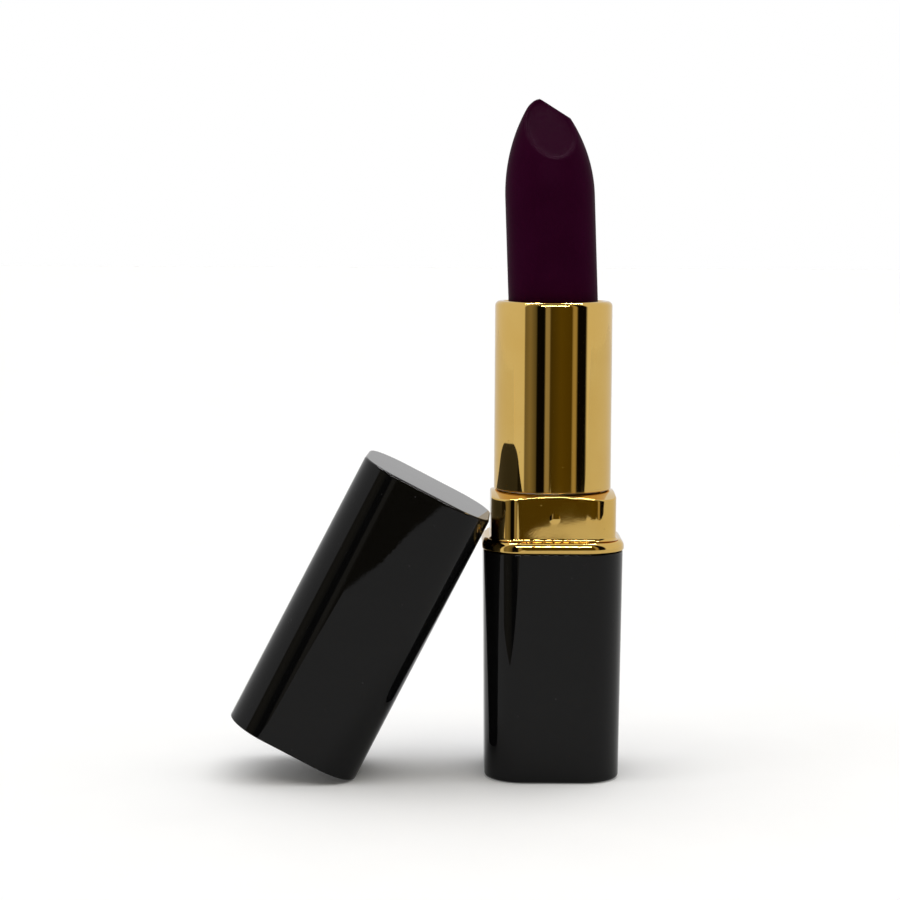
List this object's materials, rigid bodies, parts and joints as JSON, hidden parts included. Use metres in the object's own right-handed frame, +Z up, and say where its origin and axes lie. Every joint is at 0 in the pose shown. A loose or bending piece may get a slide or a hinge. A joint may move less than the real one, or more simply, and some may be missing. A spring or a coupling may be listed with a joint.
{
  "type": "lipstick case",
  "caption": "Square lipstick case with a gold collar, a turning round sleeve that raises a slanted bullet, and its cap taken off and leaning on the collar.",
  "frame": {"origin": "centre of the underside of the base, on the surface that the case stands on", "axes": "+Z up through the bullet, -Y the front face, +X to the right seen from the front; the cap leans at -X"},
  "size_m": [0.0555, 0.0223, 0.0962],
  "materials": {
    "black_plastic": "high gloss black moulding",
    "gold_plating": "vacuum plated mirror gold over plastic",
    "gold_sleeve": "polished gold anodised aluminium",
    "mechanism_plastic": "natural unpainted moulding",
    "silicone": "translucent silicone",
    "steel": "plain pressed slug",
    "label_paper": "blank matte label",
    "lipstick": "satin dark plum wax"
  },
  "bodies": {
    "base": {"base_shell": "black_plastic", "base_weight": "steel", "bottom_label": "label_paper", "collar": "gold_plating", "inner_body": "mechanism_plastic", "drag_ring": "silicone"},
    "sleeve": {"sleeve_shell": "gold_sleeve", "cam_tube": "mechanism_plastic"},
    "carrier": {"cup": "mechanism_plastic", "bullet": "lipstick"},
    "cap": {"cap_shell": "black_plastic"}
  },
  "joints": [
    {"name": "sleeve_turn", "type": "hinge", "parent": "base", "child": "sleeve", "pos_m": [0, 0, 0.045], "axis": [0, 0, 1], "range_deg": [-540, 0]},
    {"name": "bullet_rise", "type": "slide", "parent": "base", "child": "carrier", "axis": [0, 0, 1], "range_m": [-0.02941, 0]},
    {"name": "cap_tilt", "type": "hinge", "parent": "base", "child": "cap", "pos_m": [-0.02791, -0.00201, 0], "axis": [-0.0349, -0.9994, 0], "range_deg": [0, 27.2]}
  ],
  "couplings": [
    {"joint": "bullet_rise", "follows": "sleeve_turn", "m_per_rad": 0.0031194}
  ]
}
